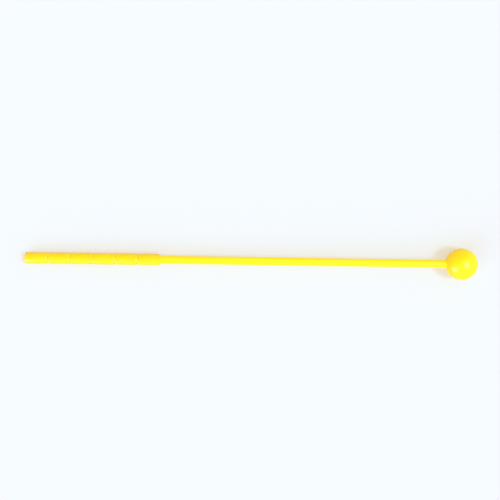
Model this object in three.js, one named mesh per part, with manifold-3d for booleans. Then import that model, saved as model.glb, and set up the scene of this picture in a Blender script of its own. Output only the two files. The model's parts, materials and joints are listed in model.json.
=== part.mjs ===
// Swing trainer stick: a ringed hand grip, a slim covered shaft with a fibreglass core, and a
// weighted ball at the far end. It lies on a level surface, on the rim of its butt and on its ball.
// Millimetres. +X runs along the stick from butt to ball, +Z is up, and the origin is the middle
// of the underside. Inside the file, x is measured along the stick from the butt face.
import * as THREE from "three";
import { mergeVertices } from "three/addons/utils/BufferGeometryUtils.js";
import Module from "manifold-3d";

// Whole stick
const TOTAL_LENGTH = 889; // 35 in
const SIDES = 32; // flats round every turned piece, with one flat facing straight down
const FIT = 0.1; // radial gap of a glued or pressed joint
const SEAT = 0.3; // gap between pieces that meet end to end

// Grip
const GRIP_LENGTH = 266.7; // 10.5 in
const BUTT_R = 11.2;
const MOUTH_R = 11.15;
const BUTT_EDGE_R = 3.5;
const MOUTH_EDGE_R = 1.2;
const MOUTH_LIP = 4;
const GROOVES = 5;
const FIRST_GROOVE = 46;
const GROOVE_PITCH = 44.2;
const GROOVE_WIDTH = 5.6;
const GROOVE_DEPTH = 1.5;
const GROOVE_STEPS = 8;

// Butt cap
const CAP_HEAD = 5;
const CAP_SKIRT = 8;
const CAP_WALL = 2;
const CAP_END_WALL = 3;
const VENT_R = 1.25;
const CAP_CHAMFER = 0.6;

// Shaft
const SHAFT_R = 8.1; // inside the grip and at its mouth
const SHAFT_TIP_R = 7.8; // at the ball
const ROD_R = 5.2;
const ROD_CHAMFER = 0.6;
const TAPE_THICKNESS = 0.26;
const TAPE_GAP = 0.07;
const TAPE_START = 16;

// Counterweight
const COUNTERWEIGHT_LENGTH = 40;
const SPIGOT_LENGTH = 18;
const COUNTERWEIGHT_CHAMFER = 1;

// Ball. Places along the stick in this block are measured from the ball's centre.
const BALL_R = 31;
const BALL_WALL = 3.2;
const SHELL_GAP = 0.15;
const REAR_RIB = [15.8, 18.3];
const REAR_RIB_R = 9.6;
const NECK_WALL = [-22, -18.6];
const NECK_WALL_R = 7.2;
const COLLAR_POCKET_START = -25.2;
const COLLAR_POCKET_R = 11.2;
const NECK_HOLE_R = 8.9;
const ARC_STEPS = 24;

// Tongue and groove of the two shells
const TONGUE_R = [28.9, 29.9];
const TONGUE_HEIGHT = 1.1;
const TONGUE_ROOT = 0.6;
const TONGUE_CLEARANCE = 0.3;
const TONGUE_HALF_ANGLE = THREE.MathUtils.degToRad(150);

// Neck collar
const COLLAR_START = -46;
const COLLAR_EDGE_R = 8.05;
const COLLAR_FLARE_R = 8.8;
const COLLAR_FLANGE_R = 11;
const COLLAR_FLANGE = [-25, -22.3];
const COLLAR_STEPS = 6;

// Head hardware
const FERRULE_START = -22;
const FERRULE_R = 7;
const FERRULE_FLANGE = [-18.4, -15.4];
const FERRULE_FLANGE_R = 9.5;
const FERRULE_SHOULDER = 15.4;
const SOCKET_END = 8.3;
const NOSE_END = 24.5;
const NOSE_R = 4;
const NOSE_CHAMFER = 0.6;
const WEIGHT = [-15.3, 15.6];
const WEIGHT_R = 17;
const WEIGHT_CHAMFER = 1.5;
const WASHER = [15.7, 17.2];
const WASHER_R = 9;
const NUT = [17.3, 23.8];
const NUT_ACROSS_FLATS = 13;
const THREAD_GAP = 0.2;
const PIN_X = -6;
const PIN_R = 1.5;
const PIN_BORE_R = 0.9;
const PIN_LENGTH = 13.2;
const PIN_HOLE_R = 1.8;
const PIN_SLOT = THREE.MathUtils.degToRad(30);
const PIN_STEPS = 16;

const BALL_X = TOTAL_LENGTH - BALL_R;
const GRIP_BORE_R = SHAFT_R + 2 * TAPE_GAP + TAPE_THICKNESS;
const ROD_BORE_R = ROD_R + FIT;
const FLATS_OUT = 1 / Math.cos(Math.PI / SIDES); // puts the flats, not the corners, at the radius

const wasm = await Module();
wasm.setup();

// A closed geometry as a manifold-3d solid.
function toSolid(geometry) {
  const bare = new THREE.BufferGeometry();
  bare.setAttribute("position", geometry.getAttribute("position"));
  if (geometry.index) bare.setIndex(geometry.index);
  const merged = mergeVertices(bare, 1e-4);
  return new wasm.Manifold(
    new wasm.Mesh({
      numProp: 3,
      vertProperties: merged.attributes.position.array,
      triVerts: new Uint32Array(merged.index.array),
    }),
  );
}

// A manifold-3d solid as a three.js geometry.
function toGeometry(solid) {
  const mesh = solid.getMesh();
  const geometry = new THREE.BufferGeometry();
  geometry.setAttribute("position", new THREE.BufferAttribute(mesh.vertProperties, 3));
  geometry.setIndex(new THREE.BufferAttribute(mesh.triVerts, 1));
  geometry.computeVertexNormals();
  return geometry;
}

// A profile of [x, radius] points turned about the stick's axis.
function turned(profile) {
  const points = profile.map(([x, r]) => new THREE.Vector2(r * FLATS_OUT, x));
  const geometry = new THREE.LatheGeometry(points, SIDES, Math.PI / SIDES);
  return geometry.rotateZ(-Math.PI / 2);
}

// A ring-shaped profile closes on itself.
function turnedRing(profile) {
  return turned([...profile, profile[0]]);
}

// Points on an arc in the [x, radius] plane, from angle a to angle b in degrees.
function arc(x, r, radius, a, b, steps) {
  return Array.from({ length: steps + 1 }, (_, i) => {
    const angle = THREE.MathUtils.degToRad(THREE.MathUtils.lerp(a, b, i / steps));
    return [x + radius * Math.cos(angle), r + radius * Math.sin(angle)];
  });
}

// The angle at which a sphere of this radius passes the given distance along its axis, in degrees.
function angleAt(x, radius) {
  return THREE.MathUtils.radToDeg(Math.acos(x / radius));
}

// Moves a profile written from the ball's centre to its place along the stick.
function fromBall(profile) {
  return profile.map(([x, r]) => [x + BALL_X, r]);
}

function gripRadius(x) {
  const t = (x - BUTT_EDGE_R) / (GRIP_LENGTH - BUTT_EDGE_R);
  return THREE.MathUtils.lerp(BUTT_R, MOUTH_R, t);
}

// One round-bottomed ring groove, centred at x.
function groove(x) {
  return Array.from({ length: GROOVE_STEPS + 1 }, (_, i) => {
    const t = i / GROOVE_STEPS - 0.5;
    const depth = (GROOVE_DEPTH * (1 + Math.cos(2 * Math.PI * t))) / 2;
    return [x + t * GROOVE_WIDTH, gripRadius(x) - depth];
  });
}

function gripSleeve() {
  const start = CAP_HEAD + FIT;
  const mouthTop = GRIP_LENGTH - MOUTH_EDGE_R;
  const grooves = Array.from({ length: GROOVES }, (_, i) => groove(FIRST_GROOVE + i * GROOVE_PITCH));
  return turnedRing([
    [start, GRIP_BORE_R],
    [start, gripRadius(start)],
    ...grooves.flat(),
    ...arc(mouthTop, gripRadius(mouthTop) - MOUTH_EDGE_R, MOUTH_EDGE_R, 90, 0, 3),
    [GRIP_LENGTH, SHAFT_R + FIT],
    [GRIP_LENGTH - MOUTH_LIP, SHAFT_R + FIT],
    [GRIP_LENGTH - MOUTH_LIP, GRIP_BORE_R],
  ]);
}

function buttCap() {
  const skirtR = GRIP_BORE_R - FIT;
  const end = CAP_HEAD + CAP_SKIRT;
  return turnedRing([
    [0, VENT_R],
    ...arc(BUTT_EDGE_R, BUTT_R - BUTT_EDGE_R, BUTT_EDGE_R, 180, 90, 5),
    [CAP_HEAD, gripRadius(CAP_HEAD)],
    [CAP_HEAD, skirtR],
    [end - CAP_CHAMFER, skirtR],
    [end, skirtR - CAP_CHAMFER],
    [end, skirtR - CAP_WALL],
    [CAP_END_WALL, skirtR - CAP_WALL],
    [CAP_END_WALL, VENT_R],
  ]);
}

const counterweightStart = CAP_HEAD + CAP_SKIRT + SEAT;
const sleeveStart = counterweightStart + COUNTERWEIGHT_LENGTH + SEAT;
const rodStart = sleeveStart + SPIGOT_LENGTH + SEAT;

function counterweight() {
  const shoulder = counterweightStart + COUNTERWEIGHT_LENGTH;
  const end = sleeveStart + SPIGOT_LENGTH;
  return turned([
    [counterweightStart, 0],
    [counterweightStart, SHAFT_R - COUNTERWEIGHT_CHAMFER],
    [counterweightStart + COUNTERWEIGHT_CHAMFER, SHAFT_R],
    [shoulder, SHAFT_R],
    [shoulder, ROD_R],
    [end - ROD_CHAMFER, ROD_R],
    [end, ROD_R - ROD_CHAMFER],
    [end, 0],
  ]);
}

function gripTape() {
  const inner = SHAFT_R + TAPE_GAP;
  const end = GRIP_LENGTH - MOUTH_LIP - SEAT;
  return turnedRing([
    [TAPE_START, inner],
    [TAPE_START, inner + TAPE_THICKNESS],
    [end, inner + TAPE_THICKNESS],
    [end, inner],
  ]);
}

function shaftSleeve() {
  const end = BALL_X + FERRULE_START - SEAT;
  return turnedRing([
    [sleeveStart, ROD_BORE_R],
    [sleeveStart, SHAFT_R],
    [GRIP_LENGTH, SHAFT_R],
    [BALL_X + COLLAR_START, SHAFT_TIP_R],
    [end, SHAFT_TIP_R],
    [end, ROD_BORE_R],
  ]);
}

// A round cross hole for the spring pin, as a solid to cut with.
function pinHole() {
  const hole = new THREE.CylinderGeometry(PIN_HOLE_R, PIN_HOLE_R, 4 * FERRULE_R, PIN_STEPS);
  return toSolid(hole.translate(BALL_X + PIN_X, 0, 0));
}

function flexRod() {
  const end = BALL_X + SOCKET_END - SEAT;
  const rod = turned([
    [rodStart, 0],
    [rodStart, ROD_R - ROD_CHAMFER],
    [rodStart + ROD_CHAMFER, ROD_R],
    [end - ROD_CHAMFER, ROD_R],
    [end, ROD_R - ROD_CHAMFER],
    [end, 0],
  ]);
  return toGeometry(toSolid(rod).subtract(pinHole()));
}

// Slip-on collar: a slight flare outside the ball and a flange held between the shells.
function neckCollar() {
  const bore = SHAFT_TIP_R + FIT;
  const skin = -Math.sqrt(BALL_R ** 2 - NECK_HOLE_R ** 2);
  const flare = Array.from({ length: COLLAR_STEPS + 1 }, (_, i) => {
    const t = i / COLLAR_STEPS;
    const x = THREE.MathUtils.lerp(COLLAR_START, skin, t);
    return [x, THREE.MathUtils.lerp(COLLAR_EDGE_R, COLLAR_FLARE_R, t ** 1.5)];
  });
  return turnedRing(
    fromBall([
      [COLLAR_START, bore],
      ...flare,
      [COLLAR_FLANGE[0], COLLAR_FLARE_R],
      [COLLAR_FLANGE[0], COLLAR_FLANGE_R],
      [COLLAR_FLANGE[1], COLLAR_FLANGE_R],
      [COLLAR_FLANGE[1], bore],
    ]),
  );
}

// End fitting: a socket for the rod, a flange behind the weight and a nose for the nut.
function rodFerrule() {
  const body = turned(
    fromBall([
      [SOCKET_END, 0],
      [SOCKET_END, ROD_BORE_R],
      [FERRULE_START, ROD_BORE_R],
      [FERRULE_START, FERRULE_R],
      [FERRULE_FLANGE[0], FERRULE_R],
      [FERRULE_FLANGE[0], FERRULE_FLANGE_R],
      [FERRULE_FLANGE[1], FERRULE_FLANGE_R],
      [FERRULE_FLANGE[1], FERRULE_R],
      [FERRULE_SHOULDER, FERRULE_R],
      [FERRULE_SHOULDER, NOSE_R],
      [NOSE_END - NOSE_CHAMFER, NOSE_R],
      [NOSE_END, NOSE_R - NOSE_CHAMFER],
      [NOSE_END, 0],
    ]),
  );
  return toGeometry(toSolid(body).subtract(pinHole()));
}

// Slotted spring pin, lying across the stick.
function ferrulePin() {
  const outline = new THREE.Shape();
  outline.absarc(0, 0, PIN_R, PIN_SLOT / 2, 2 * Math.PI - PIN_SLOT / 2, false);
  outline.absarc(0, 0, PIN_BORE_R, 2 * Math.PI - PIN_SLOT / 2, PIN_SLOT / 2, true);
  const options = { depth: PIN_LENGTH, curveSegments: PIN_STEPS, bevelEnabled: false };
  const pin = new THREE.ExtrudeGeometry(outline, options);
  pin.rotateX(Math.PI / 2);
  return pin.translate(BALL_X + PIN_X, PIN_LENGTH / 2, 0);
}

function ballWeight() {
  const [start, end] = WEIGHT;
  return turnedRing(
    fromBall([
      [start, FERRULE_R + FIT],
      [start, WEIGHT_R - WEIGHT_CHAMFER],
      [start + WEIGHT_CHAMFER, WEIGHT_R],
      [end - WEIGHT_CHAMFER, WEIGHT_R],
      [end, WEIGHT_R - WEIGHT_CHAMFER],
      [end, FERRULE_R + FIT],
    ]),
  );
}

function lockWasher() {
  const [start, end] = WASHER;
  return turnedRing(
    fromBall([
      [start, NOSE_R + THREAD_GAP],
      [start, WASHER_R],
      [end, WASHER_R],
      [end, NOSE_R + THREAD_GAP],
    ]),
  );
}

// Hexagon nut with a round bore.
function lockNut() {
  const corner = NUT_ACROSS_FLATS / 2 / Math.cos(Math.PI / 6);
  const outline = new THREE.Shape(
    Array.from({ length: 6 }, (_, i) => {
      const angle = (i * Math.PI) / 3;
      return new THREE.Vector2(corner * Math.cos(angle), corner * Math.sin(angle));
    }),
  );
  const bore = new THREE.Path();
  bore.absarc(0, 0, NOSE_R + SEAT, 0, 2 * Math.PI, true);
  outline.holes.push(bore);
  const options = { depth: NUT[1] - NUT[0], curveSegments: PIN_STEPS, bevelEnabled: false };
  const nut = new THREE.ExtrudeGeometry(outline, options);
  nut.rotateY(Math.PI / 2);
  return nut.translate(BALL_X + NUT[0], 0, 0);
}

// The whole hollow ball, with the walls that hold the collar, the ferrule and the weight.
function wholeBall() {
  const inner = BALL_R - BALL_WALL;
  const neckAngle = 180 - THREE.MathUtils.radToDeg(Math.asin(NECK_HOLE_R / BALL_R));
  return toSolid(
    turned(
      fromBall([
        ...arc(0, 0, inner, 0, angleAt(REAR_RIB[1], inner), 6),
        [REAR_RIB[1], REAR_RIB_R],
        [REAR_RIB[0], REAR_RIB_R],
        ...arc(0, 0, inner, angleAt(REAR_RIB[0], inner), angleAt(NECK_WALL[1], inner), 9),
        [NECK_WALL[1], NECK_WALL_R],
        [NECK_WALL[0], NECK_WALL_R],
        [NECK_WALL[0], COLLAR_POCKET_R],
        [COLLAR_POCKET_START, COLLAR_POCKET_R],
        [COLLAR_POCKET_START, NECK_HOLE_R],
        ...arc(0, 0, BALL_R, neckAngle, 90, ARC_STEPS / 2 - 2),
        ...arc(0, 0, BALL_R, 90, 0, ARC_STEPS / 2).slice(1),
      ]),
    ),
  );
}

// A block that holds one half of the ball: side 1 is above the joint, side -1 below it.
function halfSpace(side) {
  const size = 4 * BALL_R;
  const block = new THREE.BoxGeometry(size, size, size);
  return toSolid(block.translate(BALL_X, 0, (side * (size + SHELL_GAP)) / 2));
}

// A level ring sector that follows the ball's wall, open round the neck.
function tongue(clearance, bottom, top) {
  const [inner, outer] = TONGUE_R;
  const end = TONGUE_HALF_ANGLE + clearance / outer;
  const outline = new THREE.Shape();
  outline.absarc(0, 0, outer + clearance, -end, end, false);
  outline.absarc(0, 0, inner - clearance, end, -end, true);
  const options = { depth: top - bottom, curveSegments: ARC_STEPS, bevelEnabled: false };
  const ring = new THREE.ExtrudeGeometry(outline, options);
  return toSolid(ring.translate(BALL_X, 0, bottom));
}

function ballShellUpper() {
  const half = wholeBall().intersect(halfSpace(1));
  const slot = tongue(TONGUE_CLEARANCE, -TONGUE_ROOT, TONGUE_HEIGHT + TONGUE_CLEARANCE);
  return toGeometry(half.subtract(slot));
}

function ballShellLower() {
  const half = wholeBall().intersect(halfSpace(-1));
  return toGeometry(half.add(tongue(0, -TONGUE_ROOT, TONGUE_HEIGHT)));
}

const plastic = (color, roughness) => ({ color, roughness, metalness: 0 });
const metal = (color, roughness) => ({ color, roughness, metalness: 1 });

const PIECES = [
  ["butt_cap", buttCap, plastic(0xf7dc1c, 0.5)],
  ["grip_sleeve", gripSleeve, plastic(0xf8df1e, 0.5)],
  ["grip_tape", gripTape, plastic(0xe8e4d6, 0.8)],
  ["counterweight", counterweight, metal(0xa8abae, 0.4)],
  ["shaft_sleeve", shaftSleeve, plastic(0xfbe824, 0.4)],
  ["flex_rod", flexRod, plastic(0xd9dccb, 0.5)],
  ["neck_collar", neckCollar, plastic(0xf9e21f, 0.4)],
  ["rod_ferrule", rodFerrule, metal(0xb4b7ba, 0.35)],
  ["ferrule_pin", ferrulePin, metal(0x8d9093, 0.3)],
  ["ball_weight", ballWeight, metal(0x9a9da0, 0.45)],
  ["lock_washer", lockWasher, metal(0xc2c4c6, 0.3)],
  ["lock_nut", lockNut, metal(0xc2c4c6, 0.3)],
  ["ball_shell_lower", ballShellLower, plastic(0xfbe41c, 0.35)],
  ["ball_shell_upper", ballShellUpper, plastic(0xfbe41c, 0.35)],
];

const stick = new THREE.Group();
for (const [name, make, look] of PIECES) {
  const mesh = new THREE.Mesh(make(), new THREE.MeshStandardMaterial(look));
  mesh.name = name;
  stick.add(mesh);
}

// The ball is thicker than the grip, so the stick leans up towards it until both touch the ground.
stick.rotation.y = -Math.atan2(BALL_R - BUTT_R, BALL_X - BUTT_EDGE_R);

const model = new THREE.Group();
model.add(stick);
const box = new THREE.Box3().setFromObject(model, true);
stick.position.set(-(box.min.x + box.max.x) / 2, 0, -box.min.z);

export default model;
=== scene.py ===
"""Looks of the swing trainer stick: finely turned pieces with procedural plastics, steel and fibre.

Shapes are written in millimetres along the stick: x from the middle of the butt face towards the
ball, y across, z up. STICK carries them to the row frame, which is in metres."""
import math

import bmesh
import bpy
from mathutils import Matrix, Vector
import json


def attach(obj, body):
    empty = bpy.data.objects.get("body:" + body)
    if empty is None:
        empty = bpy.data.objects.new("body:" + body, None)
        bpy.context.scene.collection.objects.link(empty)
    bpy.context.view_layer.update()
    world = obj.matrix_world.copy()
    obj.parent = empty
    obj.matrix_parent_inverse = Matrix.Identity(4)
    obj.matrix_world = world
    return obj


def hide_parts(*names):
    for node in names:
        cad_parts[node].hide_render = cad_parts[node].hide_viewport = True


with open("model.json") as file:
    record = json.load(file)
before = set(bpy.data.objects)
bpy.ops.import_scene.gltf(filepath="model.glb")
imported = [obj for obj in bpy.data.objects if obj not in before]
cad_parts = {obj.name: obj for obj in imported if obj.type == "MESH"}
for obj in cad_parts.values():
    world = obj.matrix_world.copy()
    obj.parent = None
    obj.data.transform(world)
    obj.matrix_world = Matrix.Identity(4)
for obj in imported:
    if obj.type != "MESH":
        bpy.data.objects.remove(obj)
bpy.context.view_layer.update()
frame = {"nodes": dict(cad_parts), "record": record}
NODES = frame["nodes"]
MM = 0.001
CAD_SIDES = 32  # flats round a turned CAD node


# ---------------------------------------------------------------- the stick's own axis

def farthest(node, direction):
    """The middle of a CAD node's vertices that lie farthest in a direction, in metres."""
    tolerance = 0.01 * MM
    places = [v.co for v in NODES[node].data.vertices]
    reach = max(place.dot(direction) for place in places)
    end = [place for place in places if reach - place.dot(direction) < tolerance]
    return sum(end, Vector()) / len(end)


def stick_frame():
    """The matrix from millimetres along the stick to the row frame."""
    butt = [m for m in frame["record"]["mounts"] if m["name"] == "butt_end"][0]
    along = -Vector(butt["axis"]).normalized()
    across = Vector((0, 1, 0))
    up = along.cross(across)
    turn_to_row = Matrix((along, across, up)).transposed().to_4x4()
    return Matrix.Translation(farthest("butt_cap", -along)) @ turn_to_row @ Matrix.Scale(MM, 4)


STICK = stick_frame()
TO_STICK = STICK.inverted()


def span(node):
    """Where a turned CAD node starts and ends along the stick, and its largest radius, in mm."""
    places = [TO_STICK @ v.co for v in NODES[node].data.vertices]
    starts = [place.x for place in places]
    radii = [math.hypot(place.y, place.z) for place in places]
    return min(starts), max(starts), max(radii) * math.cos(math.pi / CAD_SIDES)


# ---------------------------------------------------------------- sizes, in millimetres

SIDES = 144
BALL_SIDES = 160
FIT = 0.1  # radial gap of a glued or pressed joint
SEAT = 0.3  # gap between pieces that meet end to end
WELD = 0.004  # vertices of a cut piece that are closer than this become one
CUT_TOLERANCE = 0.0001  # vertices this near a cutting plane lie on it
FILLET_FINENESS = 4  # steps of a 1 mm fillet per radian
CREASE = math.radians(38)  # edges that turn more than this are shaded sharp

# Fillets that several pieces share
JOINT_EDGE = 0.12  # where the butt cap and the grip meet
LIP_EDGE = 0.15  # the rims of small openings
FINE_EDGE = 0.2
EDGE = 0.3
SOFT_EDGE = 0.4
CORNER = 0.5

# Grip
GRIP_START, GRIP_END, _ = span("grip_sleeve")
_, CAP_END, BUTT_R = span("butt_cap")
TAPE_START, TAPE_END, TAPE_R = span("grip_tape")
MOUTH_R = 11.15
BUTT_EDGE = 3.5
MOUTH_EDGE = 1.2
MOUTH_LIP = 4
GROOVES = 5
FIRST_GROOVE = 46
GROOVE_PITCH = 44.2
GROOVE_WIDTH = 5.6
GROOVE_DEPTH = 1.5
GROOVE_STEPS = 24
PARTING_RIDGE = 0.05
GRAIN_RIM = 0.2  # the grain is full down to this far below the land at the mouth
TAPE_THICKNESS = 0.26
GRIP_BORE_R = TAPE_R + 0.07

# Butt cap and counterweight
VENT_R = 1.25
VENT_EDGE = 0.25
CAP_END_WALL = 3
CAP_WALL = 2
CAP_CHAMFER = 0.6
WEIGHT_START, SPIGOT_END, _ = span("counterweight")
COUNTERWEIGHT_EDGE = 1

# Shaft
SHAFT_START, SHAFT_END, SHAFT_R = span("shaft_sleeve")
ROD_START, ROD_END, ROD_R = span("flex_rod")
SHAFT_TIP_R = 7.8
ROD_BORE_R = ROD_R + FIT
ROD_EDGE = 0.6

# Ball. Places along the stick in this block are measured from the ball's centre.
_, TIP, BALL_R = span("ball_shell_lower")
BALL_X = TIP - BALL_R
BALL_WALL = 3.2
SHELL_GAP = 0.15
SEAM_BEVEL = 0.12
SKIN_TOLERANCE = 0.01  # vertices this near the outer radius belong to the skin
TIP_STEPS = 20
WALL_STEPS = 32
SKIN_STEPS = 96
REAR_RIB = (15.8, 18.3)
REAR_RIB_R = 9.6
NECK_WALL = (-22, -18.6)
NECK_WALL_R = 7.2
POCKET_START = -25.2
POCKET_R = 11.2
NECK_HOLE_R = 8.9

# Tongue and groove of the two shells
TONGUE_R = (28.9, 29.9)
TONGUE_HEIGHT = 1.1
TONGUE_ROOT = 0.6
TONGUE_CLEARANCE = 0.3
TONGUE_HALF_ANGLE = math.radians(150)
TONGUE_STEPS = 100

# Neck collar
COLLAR_START, COLLAR_END, FLANGE_R = span("neck_collar")
COLLAR_EDGE_R = 8.05
COLLAR_FLARE_R = 8.8
COLLAR_FLARE_POWER = 1.5
COLLAR_FLANGE = 2.7
COLLAR_STEPS = 16

# Head hardware
FERRULE_START, NOSE_END, FERRULE_FLANGE_R = span("rod_ferrule")
HEAD_WEIGHT_START, HEAD_WEIGHT_END, HEAD_WEIGHT_R = span("ball_weight")
HEAD_WEIGHT_EDGE = 1.5
WASHER_START, WASHER_END, WASHER_R = span("lock_washer")
NUT_START, NUT_END, _ = span("lock_nut")
FERRULE_R = 7
FERRULE_FLANGE = (-18.4, -15.4)  # measured from the ball's centre
SOCKET_END = BALL_X + 8.3
NOSE_START = BALL_X + 15.4
NOSE_R = 4
NOSE_CHAMFER = 0.6
THREAD_PITCH = 1.25
THREAD_DEPTH = 0.68
THREAD_FLAT = 1 / 6  # the share of each half pitch that is flat, at the crest and at the root
THREAD_STEPS = 12  # profile points in one pitch
THREAD_GAP = 0.08
NUT_ACROSS_FLATS = 13
NUT_FACE_INSET = 0.2
NUT_CHAMFER = math.radians(30)
NUT_CHAMFER_STEPS = 6
WASHER_TEETH = 12
WASHER_ROOT_R = 7
WASHER_PLATE = 1
PIN_X = BALL_X - 6
PIN_R = 1.5
PIN_BORE_R = 0.9
PIN_LENGTH = 13.2
PIN_SLOT = math.radians(30)
PIN_STEPS = 40
PIN_HOLE_R = 1.8
PIN_HOLE_STEPS = 48


# ---------------------------------------------------------------- mesh making

def rounded(corners):
    """A closed profile of (x, radius, fillet) corners with each fillet turned into an arc."""
    points = []
    for i, corner in enumerate(corners):
        here = Vector(corner[:2])
        fillet = corner[2] if len(corner) > 2 else 0
        if not fillet:
            points.append(here)
            continue
        to_last = (Vector(corners[i - 1][:2]) - here).normalized()
        to_next = (Vector(corners[(i + 1) % len(corners)][:2]) - here).normalized()
        half = to_last.angle(to_next) / 2
        centre = here + (to_last + to_next).normalized() * fillet / math.sin(half)
        reach = fillet / math.tan(half)
        start = here + to_last * reach - centre
        sweep = start.angle_signed(here + to_next * reach - centre)
        steps = max(3, math.ceil(abs(sweep) * math.sqrt(fillet) * FILLET_FINENESS))
        for k in range(steps + 1):
            points.append(centre + Matrix.Rotation(-sweep * k / steps, 2) @ start)
    return [(p.x, p.y) for p in points]


def arc(x, radius, start, end, steps):
    """Points on a circle about the axis point x, from one angle to another in degrees."""
    angles = [math.radians(start + (end - start) * i / steps) for i in range(steps + 1)]
    return [(x + radius * math.cos(a), radius * math.sin(a)) for a in angles]


def turn(profile, sides=SIDES, shaping=None):
    """A bmesh of a closed profile of (x, radius) points turned about the stick's axis.

    shaping(x, radius, angle) gives a point's own x and radius, for threads, teeth and flats.
    The angle starts at the top and runs towards +y."""
    shape = bmesh.new()
    rings = []
    for x, radius in profile:
        if radius == 0:
            rings.append([shape.verts.new((x, 0, 0))] * sides)
            continue
        ring = []
        for i in range(sides):
            angle = 2 * math.pi * i / sides
            here, out = shaping(x, radius, angle) if shaping else (x, radius)
            ring.append(shape.verts.new((here, out * math.sin(angle), out * math.cos(angle))))
        rings.append(ring)
    for low, high in zip(rings, rings[1:] + rings[:1]):
        for i in range(sides):
            j = (i + 1) % sides
            corners = list(dict.fromkeys([low[i], high[i], high[j], low[j]]))
            if len(corners) > 2:
                shape.faces.new(corners)
    return shape


def extruded(outline, axis, start, end):
    """A bmesh of a closed flat outline pushed along one axis (1 is y, 2 is z) from start to end."""
    shape = bmesh.new()
    rings = []
    for height in (start, end):
        ring = []
        for across, up in outline:
            place = [across, up]
            place.insert(axis, height)
            ring.append(shape.verts.new(place))
        rings.append(ring)
    for i in range(len(outline)):
        j = (i + 1) % len(outline)
        shape.faces.new([rings[0][i], rings[0][j], rings[1][j], rings[1][i]])
    for ring in rings:
        shape.faces.new(ring)
    return shape


def combined(shape, other, operation):
    """One bmesh cut by another or joined to it."""
    work = []
    for each in (shape, other):
        bmesh.ops.recalc_face_normals(each, faces=each.faces)
        mesh = bpy.data.meshes.new("work")
        each.to_mesh(mesh)
        each.free()
        work.append(bpy.data.objects.new("work", mesh))
        bpy.context.scene.collection.objects.link(work[-1])
    modifier = work[0].modifiers.new("combined", "BOOLEAN")
    modifier.operation = operation
    modifier.solver = "EXACT"
    modifier.object = work[1]
    result = bmesh.new()
    result.from_object(work[0], bpy.context.evaluated_depsgraph_get())
    for each in work:
        mesh = each.data
        bpy.data.objects.remove(each)
        bpy.data.meshes.remove(mesh)
    bmesh.ops.remove_doubles(result, verts=result.verts, dist=WELD)
    bmesh.ops.dissolve_degenerate(result, edges=result.edges, dist=WELD)
    bmesh.ops.triangulate(result, faces=[f for f in result.faces if len(f.verts) > 4])
    return result


def piece(name, shape, material, node):
    """Turns a bmesh in stick millimetres into a named piece in the row frame."""
    bmesh.ops.recalc_face_normals(shape, faces=shape.faces)
    mesh = bpy.data.meshes.new(name)
    shape.to_mesh(mesh)
    shape.free()
    places = mesh.attributes.new("stick_mm", "FLOAT_VECTOR", "POINT")
    places.data.foreach_set("vector", [c for v in mesh.vertices for c in v.co])
    mesh.transform(STICK)
    mesh.polygons.foreach_set("use_smooth", [True] * len(mesh.polygons))
    mesh.set_sharp_from_angle(angle=CREASE)
    mesh.materials.append(material)
    made = bpy.data.objects.new(name, mesh)
    bpy.context.scene.collection.objects.link(made)
    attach(made, "root")
    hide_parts(node)


# ---------------------------------------------------------------- materials

SCUFF_PATCH = 0.09  # patches of scuffs per millimetre
SCUFF_LINE_CUT = (0.66, 0.70)  # the noise levels where a line starts and where it is full
SCUFF_PATCH_CUT = (0.5, 0.6)  # the same for a patch
SCUFF_PALENESS = 0.35  # how far a full line's colour turns to YELLOW_WORN
SCUFF_ROUGHNESS = 0.2  # how much a full line adds to the roughness


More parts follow.
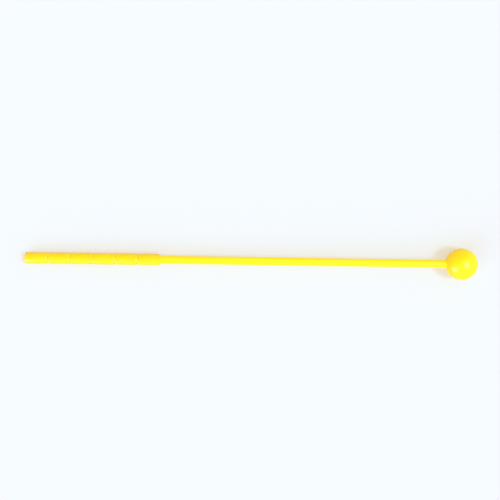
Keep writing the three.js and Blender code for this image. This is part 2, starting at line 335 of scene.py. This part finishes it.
class Finish:
    """One procedural material, built up from noise in stick millimetres."""

    def __init__(self, name, metallic=0.0, specular=0.5):
        self.material = bpy.data.materials.new(name)
        self.material.use_nodes = True
        self.tree = self.material.node_tree
        self.shader = self.tree.nodes["Principled BSDF"]
        self.shader.inputs["Metallic"].default_value = metallic
        self.shader.inputs["Specular IOR Level"].default_value = specular
        attribute = self.tree.nodes.new("ShaderNodeAttribute")
        attribute.attribute_name = "stick_mm"
        self.place = attribute.outputs["Vector"]

    def worked_out(self, operation, first, second):
        """A sum or other operation of two values, each a node's output."""
        node = self.tree.nodes.new("ShaderNodeMath")
        node.operation = operation
        self.tree.links.new(first, node.inputs[0])
        self.tree.links.new(second, node.inputs[1])
        return node.outputs["Value"]

    def turned_place(self, angles):
        """The place turned by angles in degrees, for marks that run slantwise."""
        node = self.tree.nodes.new("ShaderNodeVectorRotate")
        node.rotation_type = "EULER_XYZ"
        node.inputs["Rotation"].default_value = [math.radians(a) for a in angles]
        self.tree.links.new(self.place, node.inputs["Vector"])
        return node.outputs["Vector"]

    def from_axis(self):
        """The distance from the stick's axis."""
        node = self.tree.nodes.new("ShaderNodeVectorMath")
        node.operation = "MULTIPLY"
        node.inputs[1].default_value = (0, 1, 1)
        self.tree.links.new(self.place, node.inputs[0])
        length = self.tree.nodes.new("ShaderNodeVectorMath")
        length.operation = "LENGTH"
        self.tree.links.new(node.outputs["Vector"], length.inputs[0])
        return length.outputs["Value"]

    def noise(self, stretch, detail=2.0, place=None):
        """Noise with its own number of cells per millimetre along, across and up."""
        scale = self.tree.nodes.new("ShaderNodeVectorMath")
        scale.operation = "MULTIPLY"
        scale.inputs[1].default_value = stretch
        texture = self.tree.nodes.new("ShaderNodeTexNoise")
        texture.inputs["Scale"].default_value = 1.0
        texture.inputs["Detail"].default_value = detail
        self.tree.links.new(place or self.place, scale.inputs[0])
        self.tree.links.new(scale.outputs["Vector"], texture.inputs["Vector"])
        return texture.outputs["Fac"]

    def ranged(self, value, low, high, start=0.35, end=0.65):
        """A value spread from start..end to low..high, held at its ends."""
        node = self.tree.nodes.new("ShaderNodeMapRange")
        node.inputs["From Min"].default_value = start
        node.inputs["From Max"].default_value = end
        node.inputs["To Min"].default_value = low
        node.inputs["To Max"].default_value = high
        self.tree.links.new(value, node.inputs["Value"])
        return node.outputs["Result"]

    def scuffs(self, angles, along, across):
        """Sparse fine lines, 1 on a line and 0 off it, slanted by angles in degrees."""
        slanted = self.turned_place(angles)
        lines = self.noise((along, across, across), 1.0, slanted)
        patches = self.noise((SCUFF_PATCH, SCUFF_PATCH, SCUFF_PATCH), 1.0, slanted)
        on_line = self.ranged(lines, 0, 1, *SCUFF_LINE_CUT)
        in_patch = self.ranged(patches, 0, 1, *SCUFF_PATCH_CUT)
        return self.worked_out("MULTIPLY", on_line, in_patch)

    def blended(self, factor, first, second):
        """A colour between two others. Each is a colour or another node's output."""
        mix = self.tree.nodes.new("ShaderNodeMix")
        mix.data_type = "RGBA"
        self.tree.links.new(factor, mix.inputs["Factor"])
        sockets = [s for s in mix.inputs if s.type == "RGBA"]
        for socket, colour in zip(sockets, (first, second)):
            if isinstance(colour, tuple):
                socket.default_value = (*colour, 1)
            else:
                self.tree.links.new(colour, socket)
        return [s for s in mix.outputs if s.type == "RGBA"][0]

    def wired(self, colour, roughness, heights):
        """The material with its colour, roughness and bumps, each a (height, depth in mm) pair."""
        self.tree.links.new(colour, self.shader.inputs["Base Color"])
        self.tree.links.new(roughness, self.shader.inputs["Roughness"])
        normal = None
        for height, depth in heights:
            bump = self.tree.nodes.new("ShaderNodeBump")
            bump.inputs["Strength"].default_value = 1.0
            bump.inputs["Distance"].default_value = depth * MM
            self.tree.links.new(height, bump.inputs["Height"])
            if normal:
                self.tree.links.new(normal, bump.inputs["Normal"])
            normal = bump.outputs["Normal"]
        self.tree.links.new(normal, self.shader.inputs["Normal"])
        return self.material


YELLOW = (0.95, 0.615, 0.004)
YELLOW_DEEP = (0.93, 0.580, 0.003)
YELLOW_WORN = (0.96, 0.68, 0.06)
SHAFT_YELLOW = (0.96, 0.66, 0.006)
GRIP_YELLOW = (0.85, 0.545, 0.003)
GRIP_YELLOW_DEEP = (0.83, 0.518, 0.002)


def grip_plastic():
    """Fine sparked grain on the lands, smoother in the grooves, rubbed a little by the hand."""
    made = Finish("grip_plastic", specular=0.25)
    blotches = made.ranged(made.noise((0.05, 0.12, 0.12), 3), 0, 1)
    colour = made.blended(blotches, GRIP_YELLOW, GRIP_YELLOW_DEEP)
    on_land = made.ranged(made.from_axis(), 0, 1, MOUTH_R - GROOVE_DEPTH, MOUTH_R - GRAIN_RIM)
    rubbed = made.ranged(made.noise((0.03, 0.1, 0.1), 3), 0, 0.06)
    texture = made.ranged(on_land, 0.26, 0.32, 0, 1)
    roughness = made.worked_out("SUBTRACT", texture, rubbed)
    grain = made.worked_out("MULTIPLY", made.noise((2.2, 2.2, 2.2), 3), on_land)
    flow = made.noise((0.06, 0.25, 0.25), 2)
    return made.wired(colour, roughness, [(flow, 0.05), (grain, 0.02)])


def shaft_plastic():
    """Smooth extruded plastic with faint draw lines and a few slanting scuffs."""
    made = Finish("shaft_plastic", specular=0.2)
    streaks = made.ranged(made.noise((0.01, 0.5, 0.5), 3), 0, 1)
    scuffs = made.scuffs((0, 20, 35), 0.08, 5.0)
    colour = made.blended(streaks, SHAFT_YELLOW, YELLOW)
    colour = made.blended(made.ranged(scuffs, 0, SCUFF_PALENESS, 0, 1), colour, YELLOW_WORN)
    gloss = made.ranged(made.noise((0.02, 1.0, 1.0), 2), 0.25, 0.32)
    roughness = made.worked_out("ADD", gloss, made.ranged(scuffs, 0, SCUFF_ROUGHNESS, 0, 1))
    lines = made.noise((0.02, 3.0, 3.0), 2)
    ripples = made.noise((0.15, 0.3, 0.3), 2)
    return made.wired(colour, roughness, [(lines, 0.01), (ripples, 0.02)])


def ball_plastic():
    """Smooth moulded plastic with a faint orange peel and fine scuffs in two directions."""
    made = Finish("ball_plastic", specular=0.2)
    clouds = made.ranged(made.noise((0.06, 0.06, 0.06), 3), 0, 1)
    first = made.scuffs((0, 35, 60), 0.07, 4.0)
    second = made.scuffs((50, -20, -25), 0.07, 4.5)
    scuffs = made.worked_out("MAXIMUM", first, second)
    colour = made.blended(clouds, YELLOW, YELLOW_DEEP)
    colour = made.blended(made.ranged(scuffs, 0, SCUFF_PALENESS, 0, 1), colour, YELLOW_WORN)
    gloss = made.ranged(made.noise((0.2, 0.2, 0.2), 4), 0.29, 0.37)
    roughness = made.worked_out("ADD", gloss, made.ranged(scuffs, 0, SCUFF_ROUGHNESS, 0, 1))
    peel = made.noise((0.5, 0.5, 0.5), 1)
    return made.wired(colour, roughness, [(peel, 0.008), (scuffs, 0.008)])


def fibreglass():
    """Pultruded rod: long pale fibres in a faintly green resin."""
    made = Finish("fibreglass")
    fibres = made.ranged(made.noise((0.02, 6.0, 6.0), 3), 0, 1)
    colour = made.blended(fibres, (0.62, 0.67, 0.54), (0.80, 0.82, 0.74))
    roughness = made.ranged(made.noise((0.05, 2.0, 2.0), 2), 0.32, 0.5)
    return made.wired(colour, roughness, [(fibres, 0.03)])


def tape_paper():
    """Off-white crepe tape, with its creases across the stick."""
    made = Finish("tape", specular=0.3)
    creases = made.ranged(made.noise((2.5, 0.5, 0.5), 2), 0, 1)
    colour = made.blended(creases, (0.78, 0.75, 0.66), (0.88, 0.86, 0.80))
    roughness = made.ranged(made.noise((0.5, 0.5, 0.5), 2), 0.7, 0.88)
    return made.wired(colour, roughness, [(creases, 0.03)])


def turned_steel(name, dark, pale, smoothest, roughest):
    """Steel off the lathe: fine rings of tool marks over a mottled colour."""
    stain = tuple(0.6 * c for c in dark)
    made = Finish(name, metallic=1.0)
    marks = made.ranged(made.noise((9.0, 0.05, 0.05), 2), 0, 1)
    mottle = made.ranged(made.noise((0.2, 0.2, 0.2), 3), 0, 1)
    stains = made.ranged(made.noise((0.35, 0.35, 0.35), 4), 0, 0.5, 0.55, 0.7)
    colour = made.blended(mottle, dark, pale)
    colour = made.blended(stains, colour, stain)
    roughness = made.ranged(made.noise((4.0, 0.1, 0.1), 2), smoothest, roughest)
    return made.wired(colour, roughness, [(marks, 0.02)])


GRIP = grip_plastic()
SHAFT = shaft_plastic()
BALL = ball_plastic()
FIBRE = fibreglass()
TAPE = tape_paper()
WEIGHT_STEEL = turned_steel("weight_steel", (0.42, 0.43, 0.44), (0.50, 0.51, 0.52), 0.31, 0.45)
FITTING_STEEL = turned_steel("fitting_steel", (0.60, 0.61, 0.58), (0.70, 0.71, 0.70), 0.18, 0.32)


# ---------------------------------------------------------------- grip

def grip_radius(x):
    """The radius of the lands, which taper a little towards the mouth."""
    share = (x - BUTT_EDGE) / (GRIP_END - BUTT_EDGE)
    return BUTT_R + (MOUTH_R - BUTT_R) * share


def groove(x):
    """A round-bottomed ring groove centred at x."""
    points = []
    for i in range(GROOVE_STEPS + 1):
        share = i / GROOVE_STEPS - 0.5
        depth = GROOVE_DEPTH * (1 + math.cos(2 * math.pi * share)) / 2
        here = x + share * GROOVE_WIDTH
        points.append((here, grip_radius(here) - depth))
    return points


def parting_ridge(x, radius, angle):
    """The faint ridge that the two mould halves leave along each side of the grip."""
    on_side = abs(math.cos(angle)) < math.sin(math.pi / SIDES)
    outside = radius > MOUTH_R - GROOVE_DEPTH - FIT and GRIP_START < x < GRIP_END - MOUTH_EDGE
    return x, radius + PARTING_RIDGE * (on_side and outside)


def make_grip():
    """The ringed grip, with a lip at its mouth that closes round the shaft."""
    lip = SHAFT_R + FIT
    corners = [(GRIP_START, GRIP_BORE_R), (GRIP_START, grip_radius(GRIP_START), JOINT_EDGE)]
    for i in range(GROOVES):
        corners += groove(FIRST_GROOVE + i * GROOVE_PITCH)
    corners += [
        (GRIP_END, grip_radius(GRIP_END), MOUTH_EDGE),
        (GRIP_END, lip, LIP_EDGE),
        (GRIP_END - MOUTH_LIP, lip),
        (GRIP_END - MOUTH_LIP, GRIP_BORE_R),
    ]
    shape = turn(rounded(corners), shaping=parting_ridge)
    piece("grip_moulding", shape, GRIP, "grip_sleeve")


def make_butt_cap():
    """The rounded end cap, with a vent hole, and a skirt that plugs into the grip."""
    head = GRIP_START - FIT
    skirt = GRIP_BORE_R - FIT
    corners = [
        (0, VENT_R, VENT_EDGE),
        (0, BUTT_R, BUTT_EDGE),
        (head, grip_radius(head), JOINT_EDGE),
        (head, skirt),
        (CAP_END, skirt, CAP_CHAMFER),
        (CAP_END, skirt - CAP_WALL, EDGE),
        (CAP_END_WALL, skirt - CAP_WALL, SOFT_EDGE),
        (CAP_END_WALL, VENT_R, LIP_EDGE),
    ]
    piece("butt_cap_moulding", turn(rounded(corners)), GRIP, "butt_cap")


def make_tape():
    """The tape that holds the grip on the shaft."""
    inner = TAPE_R - TAPE_THICKNESS
    corners = [(TAPE_START, inner), (TAPE_START, TAPE_R), (TAPE_END, TAPE_R), (TAPE_END, inner)]
    piece("tape_wrap", turn(corners), TAPE, "grip_tape")


def make_counterweight():
    """A steel slug whose spigot plugs into the shaft's butt end."""
    shoulder = SHAFT_START - SEAT
    corners = [
        (WEIGHT_START, 0),
        (WEIGHT_START, SHAFT_R, COUNTERWEIGHT_EDGE),
        (shoulder, SHAFT_R, SOFT_EDGE),
        (shoulder, ROD_R, EDGE),
        (SPIGOT_END, ROD_R, ROD_EDGE),
        (SPIGOT_END, 0),
    ]
    shape = turn(rounded(corners))
    piece("counterweight_turning", shape, WEIGHT_STEEL, "counterweight")


# ---------------------------------------------------------------- shaft

def pin_hole():
    """The cross hole for the spring pin, as a solid to cut with."""
    angles = [2 * math.pi * i / PIN_HOLE_STEPS for i in range(PIN_HOLE_STEPS)]
    outline = [(PIN_X + PIN_HOLE_R * math.cos(a), PIN_HOLE_R * math.sin(a)) for a in angles]
    return extruded(outline, 1, -2 * FERRULE_R, 2 * FERRULE_R)


def make_shaft():
    """The tube over the rod. It tapers a little between the grip and the neck collar."""
    corners = [
        (SHAFT_START, ROD_BORE_R, FINE_EDGE),
        (SHAFT_START, SHAFT_R, EDGE),
        (GRIP_END, SHAFT_R),
        (COLLAR_START, SHAFT_TIP_R),
        (SHAFT_END, SHAFT_TIP_R, EDGE),
        (SHAFT_END, ROD_BORE_R, FINE_EDGE),
    ]
    piece("shaft_tube", turn(rounded(corners)), SHAFT, "shaft_sleeve")


def make_rod():
    """The solid rod inside the tube, with the cross hole for the pin."""
    ends = [(ROD_START, ROD_R, ROD_EDGE), (ROD_END, ROD_R, ROD_EDGE)]
    corners = [(ROD_START, 0), *ends, (ROD_END, 0)]
    shape = combined(turn(rounded(corners)), pin_hole(), "DIFFERENCE")
    piece("fibreglass_rod", shape, FIBRE, "flex_rod")


def make_collar():
    """A slip-on collar that flares towards the ball, with its flange held between the shells."""
    skin = BALL_X - math.sqrt(BALL_R ** 2 - NECK_HOLE_R ** 2)
    flange_start = COLLAR_END - COLLAR_FLANGE
    bore = SHAFT_TIP_R + FIT
    flare = []
    for i in range(COLLAR_STEPS + 1):
        share = i / COLLAR_STEPS
        x = COLLAR_START + (skin - COLLAR_START) * share
        rise = (COLLAR_FLARE_R - COLLAR_EDGE_R) * share ** COLLAR_FLARE_POWER
        flare.append((x, COLLAR_EDGE_R + rise))
    corners = [
        (COLLAR_START, bore),
        *flare,
        (flange_start, COLLAR_FLARE_R),
        (flange_start, FLANGE_R, FINE_EDGE),
        (COLLAR_END, FLANGE_R, FINE_EDGE),
        (COLLAR_END, bore),
    ]
    piece("collar_moulding", turn(rounded(corners)), SHAFT, "neck_collar")


# ---------------------------------------------------------------- ball

def ball_profile():
    """The whole hollow ball, with the walls that hold the collar, the ferrule and the weight."""
    inner = BALL_R - BALL_WALL
    mouth = 180 - math.degrees(math.asin(NECK_HOLE_R / BALL_R))
    rib_angles = [math.degrees(math.acos(x / inner)) for x in REAR_RIB]
    wall_angle = math.degrees(math.acos(NECK_WALL[1] / inner))
    return [
        *arc(BALL_X, inner, 0, rib_angles[1], TIP_STEPS),
        (BALL_X + REAR_RIB[1], REAR_RIB_R),
        (BALL_X + REAR_RIB[0], REAR_RIB_R),
        *arc(BALL_X, inner, rib_angles[0], wall_angle, WALL_STEPS),
        (BALL_X + NECK_WALL[1], NECK_WALL_R),
        (BALL_X + NECK_WALL[0], NECK_WALL_R),
        (BALL_X + NECK_WALL[0], POCKET_R),
        (BALL_X + POCKET_START, POCKET_R),
        (BALL_X + POCKET_START, NECK_HOLE_R),
        *arc(BALL_X, BALL_R, mouth, 0, SKIN_STEPS),
    ]


def tongue(clearance, bottom, top):
    """A level ring sector that follows the ball's wall, open round the neck."""
    inner, outer = TONGUE_R[0] - clearance, TONGUE_R[1] + clearance
    end = TONGUE_HALF_ANGLE + clearance / outer
    angles = [end * (2 * i / TONGUE_STEPS - 1) for i in range(TONGUE_STEPS + 1)]
    outline = [(BALL_X + outer * math.cos(a), outer * math.sin(a)) for a in angles]
    outline += [(BALL_X + inner * math.cos(a), inner * math.sin(a)) for a in reversed(angles)]
    return extruded(outline, 2, bottom, top)


def half_ball(side):
    """One half of the ball with its seam edge eased: side 1 is above the joint, side -1 below.

    The first cut removes the other half. The next two only add edges, where the eased edge ends
    and a little beyond it."""
    shape = turn(ball_profile(), BALL_SIDES)
    seam = SHELL_GAP / 2
    for height in (seam, seam + SEAM_BEVEL, seam + 4 * SEAM_BEVEL):
        bmesh.ops.bisect_plane(
            shape,
            geom=shape.verts[:] + shape.edges[:] + shape.faces[:],
            plane_co=(0, 0, side * height),
            plane_no=(0, 0, -side),
            clear_outer=height == seam,
            dist=CUT_TOLERANCE,
        )
    bmesh.ops.contextual_create(shape, geom=[e for e in shape.edges if e.is_boundary])
    for vert in shape.verts:
        out = vert.co - Vector((BALL_X, 0, 0))
        depth = SEAM_BEVEL - (abs(vert.co.z) - seam)
        if out.length > BALL_R - SKIN_TOLERANCE and depth > 0:
            vert.co -= out.normalized() * depth
    return shape


def make_ball():
    """The two shells. The lower one has the tongue and the upper one the groove."""
    slot = tongue(TONGUE_CLEARANCE, -TONGUE_ROOT, TONGUE_HEIGHT + TONGUE_CLEARANCE)
    upper = combined(half_ball(1), slot, "DIFFERENCE")
    lower = combined(half_ball(-1), tongue(0, -TONGUE_ROOT, TONGUE_HEIGHT), "UNION")
    piece("ball_upper_skin", upper, BALL, "ball_shell_upper")
    piece("ball_lower_skin", lower, BALL, "ball_shell_lower")


# ---------------------------------------------------------------- hardware inside the ball

def thread_depth(x, angle, start, end):
    """How far a right-hand thread is cut below its crest, running out at both ends."""
    turns = (x - NOSE_START) / THREAD_PITCH - angle / (2 * math.pi)
    wave = abs(2 * (turns % 1) - 1)
    form = min(1, max(0, (wave - THREAD_FLAT) / (1 - 2 * THREAD_FLAT)))
    fade = min(1, max(0, (x - start) / THREAD_PITCH), max(0, (end - x) / THREAD_PITCH))
    return THREAD_DEPTH * form * fade


def threaded_points(start, end, radius):
    """Profile points close enough together to carry the thread."""
    steps = math.ceil(abs(end - start) / THREAD_PITCH * THREAD_STEPS)
    return [(start + (end - start) * i / steps, radius) for i in range(steps + 1)]


def make_ferrule():
    """The end fitting: a socket for the rod, a flange behind the weight and a threaded nose."""
    flange_start, flange_end = [BALL_X + x for x in FERRULE_FLANGE]

    def threaded(x, radius, angle):
        on_nose = x > NOSE_START and radius == NOSE_R
        return x, radius - thread_depth(x, angle, NOSE_START, NOSE_END) * on_nose

    corners = [
        (SOCKET_END, 0),
        (SOCKET_END, ROD_BORE_R, CORNER),
        (FERRULE_START, ROD_BORE_R, SOFT_EDGE),
        (FERRULE_START, FERRULE_R, SOFT_EDGE),
        (flange_start, FERRULE_R, EDGE),
        (flange_start, FERRULE_FLANGE_R, SOFT_EDGE),
        (flange_end, FERRULE_FLANGE_R, SOFT_EDGE),
        (flange_end, FERRULE_R, FINE_EDGE),
        (NOSE_START, FERRULE_R, CORNER),
        (NOSE_START, NOSE_R),
    ]
    profile = rounded(corners)
    profile += threaded_points(NOSE_START, NOSE_END - NOSE_CHAMFER, NOSE_R)[1:]
    profile += [(NOSE_END, NOSE_R - NOSE_CHAMFER), (NOSE_END, 0)]
    shape = combined(turn(profile, shaping=threaded), pin_hole(), "DIFFERENCE")
    piece("ferrule_turning", shape, FITTING_STEEL, "rod_ferrule")


def make_pin():
    """A slotted spring pin across the stick, with its ends eased."""
    shape = bmesh.new()
    rings = []
    half = PIN_LENGTH / 2
    sweep = 2 * math.pi - PIN_SLOT
    angles = [PIN_SLOT / 2 + sweep * i / PIN_STEPS for i in range(PIN_STEPS + 1)]
    for y, shrink in ((-half, EDGE), (-half + EDGE, 0), (half - EDGE, 0), (half, EDGE)):
        outer = [(a, PIN_R - shrink) for a in angles]
        inner = [(a, PIN_BORE_R) for a in reversed(angles)]
        ring = []
        for a, radius in outer + inner:
            ring.append(shape.verts.new((PIN_X + radius * math.cos(a), y, radius * math.sin(a))))
        rings.append(ring)
    for low, high in zip(rings, rings[1:]):
        for i in range(len(low)):
            j = (i + 1) % len(low)
            shape.faces.new([low[i], low[j], high[j], high[i]])
    for ring in (rings[0], rings[-1]):
        for i in range(PIN_STEPS):
            shape.faces.new([ring[i], ring[i + 1], ring[-2 - i], ring[-1 - i]])
    piece("spring_pin", shape, FITTING_STEEL, "ferrule_pin")


def make_head_weight():
    """The bored slug that slips over the ferrule."""
    bore = FERRULE_R + FIT
    corners = [
        (HEAD_WEIGHT_START, bore, EDGE),
        (HEAD_WEIGHT_START, HEAD_WEIGHT_R, HEAD_WEIGHT_EDGE),
        (HEAD_WEIGHT_END, HEAD_WEIGHT_R, HEAD_WEIGHT_EDGE),
        (HEAD_WEIGHT_END, bore, EDGE),
    ]
    piece("head_weight_turning", turn(rounded(corners)), WEIGHT_STEEL, "ball_weight")


def make_washer():
    """A toothed lock washer. The teeth are twisted a little out of the plate's plane.

    A tooth fills the first half of its pitch, and twists about the middle of that half."""
    inner = NOSE_R + 2 * FIT
    middle = (WASHER_START + WASHER_END) / 2
    half = WASHER_PLATE / 2
    twist = WASHER_END - middle - half

    def toothed(x, radius, angle):
        phase = (angle / (2 * math.pi) * WASHER_TEETH) % 1
        if radius == WASHER_R and phase > 1 / 2:
            return x, WASHER_ROOT_R
        if radius == WASHER_R:
            return x + (4 * phase - 1) * twist, radius
        return x, radius

    faces = (middle - half, middle + half)
    profile = [(faces[0], inner), (faces[0], WASHER_R), (faces[1], WASHER_R), (faces[1], inner)]
    shape = turn(profile, shaping=toothed)
    piece("toothed_washer", shape, FITTING_STEEL, "lock_washer")


def make_nut():
    """A hexagon nut: its corners are turned off at 30 degrees and its thread follows the nose's."""
    face_r = NUT_ACROSS_FLATS / 2 - NUT_FACE_INSET
    corner_r = NUT_ACROSS_FLATS / math.sqrt(3)
    slope = math.tan(NUT_CHAMFER)
    chamfer = (corner_r - face_r) * slope
    bore = NOSE_R + THREAD_GAP
    steps = [chamfer * i / NUT_CHAMFER_STEPS for i in range(NUT_CHAMFER_STEPS + 1)]

    def formed(x, radius, angle):
        if radius == bore:
            return x, bore - thread_depth(x, angle, NUT_START, NUT_END)
        flat = NUT_ACROSS_FLATS / 2 / math.cos(angle % (math.pi / 3) - math.pi / 6)
        from_end = min(x - NUT_START, NUT_END - x)
        return x, min(flat, face_r + from_end / slope)

    profile = threaded_points(NUT_END, NUT_START, bore)
    profile += [(NUT_START + step, corner_r) for step in steps]
    profile += [(NUT_END - step, corner_r) for step in reversed(steps)]
    piece("hex_nut", turn(profile, shaping=formed), FITTING_STEEL, "lock_nut")


# ---------------------------------------------------------------- light, floor and camera

# The room
HORIZON = 1.4
OVERHEAD = 0.55
BRIGHT_SIDE = (0.28, -0.32, 0.0)
ROOM_COLOUR = (1.0, 0.985, 0.955, 1)

# The floor gives part of its own light, which keeps the shadows pale and warm
FLOOR_SIZE = 30.0
FLOOR_COLOUR = (0.16, 0.30, 0.48, 1)
FLOOR_GLOW = (0.656, 0.456, 0.209, 1)
FLOOR_ROUGHNESS = 0.8

# Lights and camera, in metres
LIGHT_DISTANCE = 4.0
LAMP_COLOUR = (0.96, 1.0, 1.0)
CAMERA_PLACE = (-0.0003, 0.0217, 1.703)
CAMERA_TURN = math.radians(0.83)
CAMERA_LENS = 61.60
CAMERA_SENSOR = 36
CAMERA_REACH = 100


def light(name, kind, direction):
    """A light that shines on the stick from a direction."""
    data = bpy.data.lights.new(name, kind)
    lamp = bpy.data.objects.new(name, data)
    lamp.location = Vector(direction).normalized() * LIGHT_DISTANCE
    lamp.rotation_euler = lamp.location.to_track_quat("Z", "Y").to_euler()
    bpy.context.scene.collection.objects.link(lamp)
    return lamp


def key_light(name, direction, spread, brightness):
    """A far light that spans an angle in degrees. A white card that faces it gets its brightness.

    It models shape and shadow, and isn't seen in the gloss."""
    lamp = light(name, "SUN", direction)
    lamp.data.angle = math.radians(spread)
    lamp.data.energy = math.pi * brightness
    lamp.data.color = LAMP_COLOUR
    lamp.visible_glossy = False


def shine_panel(name, direction, size, radiance):
    """A bright panel, of the given width and height in metres, that shows only in the gloss."""
    lamp = light(name, "AREA", direction)
    lamp.data.shape = "RECTANGLE"
    lamp.data.size, lamp.data.size_y = size
    lamp.data.energy = radiance * math.pi * size[0] * size[1]
    lamp.visible_diffuse = False


def make_lights():
    key_light("lamp_right", (0.47, -0.088, 0.878), 15, 0.52)
    key_light("ceiling", (0.1, 0, 1), 60, 0.16)
    key_light("window_left", (-0.6, -0.55, 0.58), 45, 0.32)
    key_light("window_low", (-0.55, -0.8, 0.3), 70, 0.17)
    key_light("window_right", (0.9, -0.15, 0.4), 50, 0.07)
    key_light("wall_back", (0.0, 0.9, 0.35), 60, 0.06)
    shine_panel("shine_right", (0.515, -0.082, 0.853), (2.2, 1.4), 31)
    shine_panel("shine_left", (-0.712, -0.656, 0.252), (1.1, 1.1), 80)


def make_surroundings():
    """A pale room: bright low down and on its bright side, dim overhead."""
    world = bpy.data.worlds.new("studio")
    bpy.context.scene.world = world
    world.use_nodes = True
    tree = world.node_tree
    direction = tree.nodes.new("ShaderNodeTexCoord")
    height = tree.nodes.new("ShaderNodeSeparateXYZ")
    tree.links.new(direction.outputs["Generated"], height.inputs["Vector"])
    ramp = tree.nodes.new("ShaderNodeMapRange")
    ramp.inputs["To Min"].default_value = HORIZON
    ramp.inputs["To Max"].default_value = OVERHEAD
    tree.links.new(height.outputs["Z"], ramp.inputs["Value"])
    lean = tree.nodes.new("ShaderNodeVectorMath")
    lean.operation = "DOT_PRODUCT"
    lean.inputs[1].default_value = BRIGHT_SIDE
    tree.links.new(direction.outputs["Generated"], lean.inputs[0])
    total = tree.nodes.new("ShaderNodeMath")
    total.operation = "ADD"
    tree.links.new(ramp.outputs["Result"], total.inputs[0])
    tree.links.new(lean.outputs["Value"], total.inputs[1])
    background = tree.nodes["Background"]
    background.inputs["Color"].default_value = ROOM_COLOUR
    tree.links.new(total.outputs["Value"], background.inputs["Strength"])


def make_floor():
    """A plain matt floor under the stick."""
    mesh = bpy.data.meshes.new("floor")
    corners = [(x * FLOOR_SIZE, y * FLOOR_SIZE, 0) for x, y in ((-1, -1), (1, -1), (1, 1), (-1, 1))]
    mesh.from_pydata(corners, [], [(0, 1, 2, 3)])
    material = bpy.data.materials.new("floor")
    material.use_nodes = True
    shader = material.node_tree.nodes["Principled BSDF"]
    shader.inputs["Base Color"].default_value = FLOOR_COLOUR
    shader.inputs["Roughness"].default_value = FLOOR_ROUGHNESS
    shader.inputs["Specular IOR Level"].default_value = 0.0
    shader.inputs["Emission Color"].default_value = FLOOR_GLOW
    shader.inputs["Emission Strength"].default_value = 1.0
    mesh.materials.append(material)
    floor = bpy.data.objects.new("floor", mesh)
    bpy.context.scene.collection.objects.link(floor)


def make_camera():
    """Straight above the stick, which crosses the picture at a slight slant."""
    data = bpy.data.cameras.new("camera")
    data.sensor_width = CAMERA_SENSOR
    data.lens = CAMERA_LENS
    data.clip_end = CAMERA_REACH
    camera = bpy.data.objects.new("camera", data)
    camera.location = CAMERA_PLACE
    camera.rotation_euler = (0, 0, CAMERA_TURN)
    bpy.context.scene.collection.objects.link(camera)
    bpy.context.scene.camera = camera
    bpy.context.scene.view_settings.view_transform = "Standard"


make_camera()
make_floor()
make_surroundings()
make_lights()
make_grip()
make_butt_cap()
make_tape()
make_counterweight()
make_shaft()
make_rod()
make_collar()
make_ball()
make_ferrule()
make_pin()
make_head_weight()
make_washer()
make_nut()
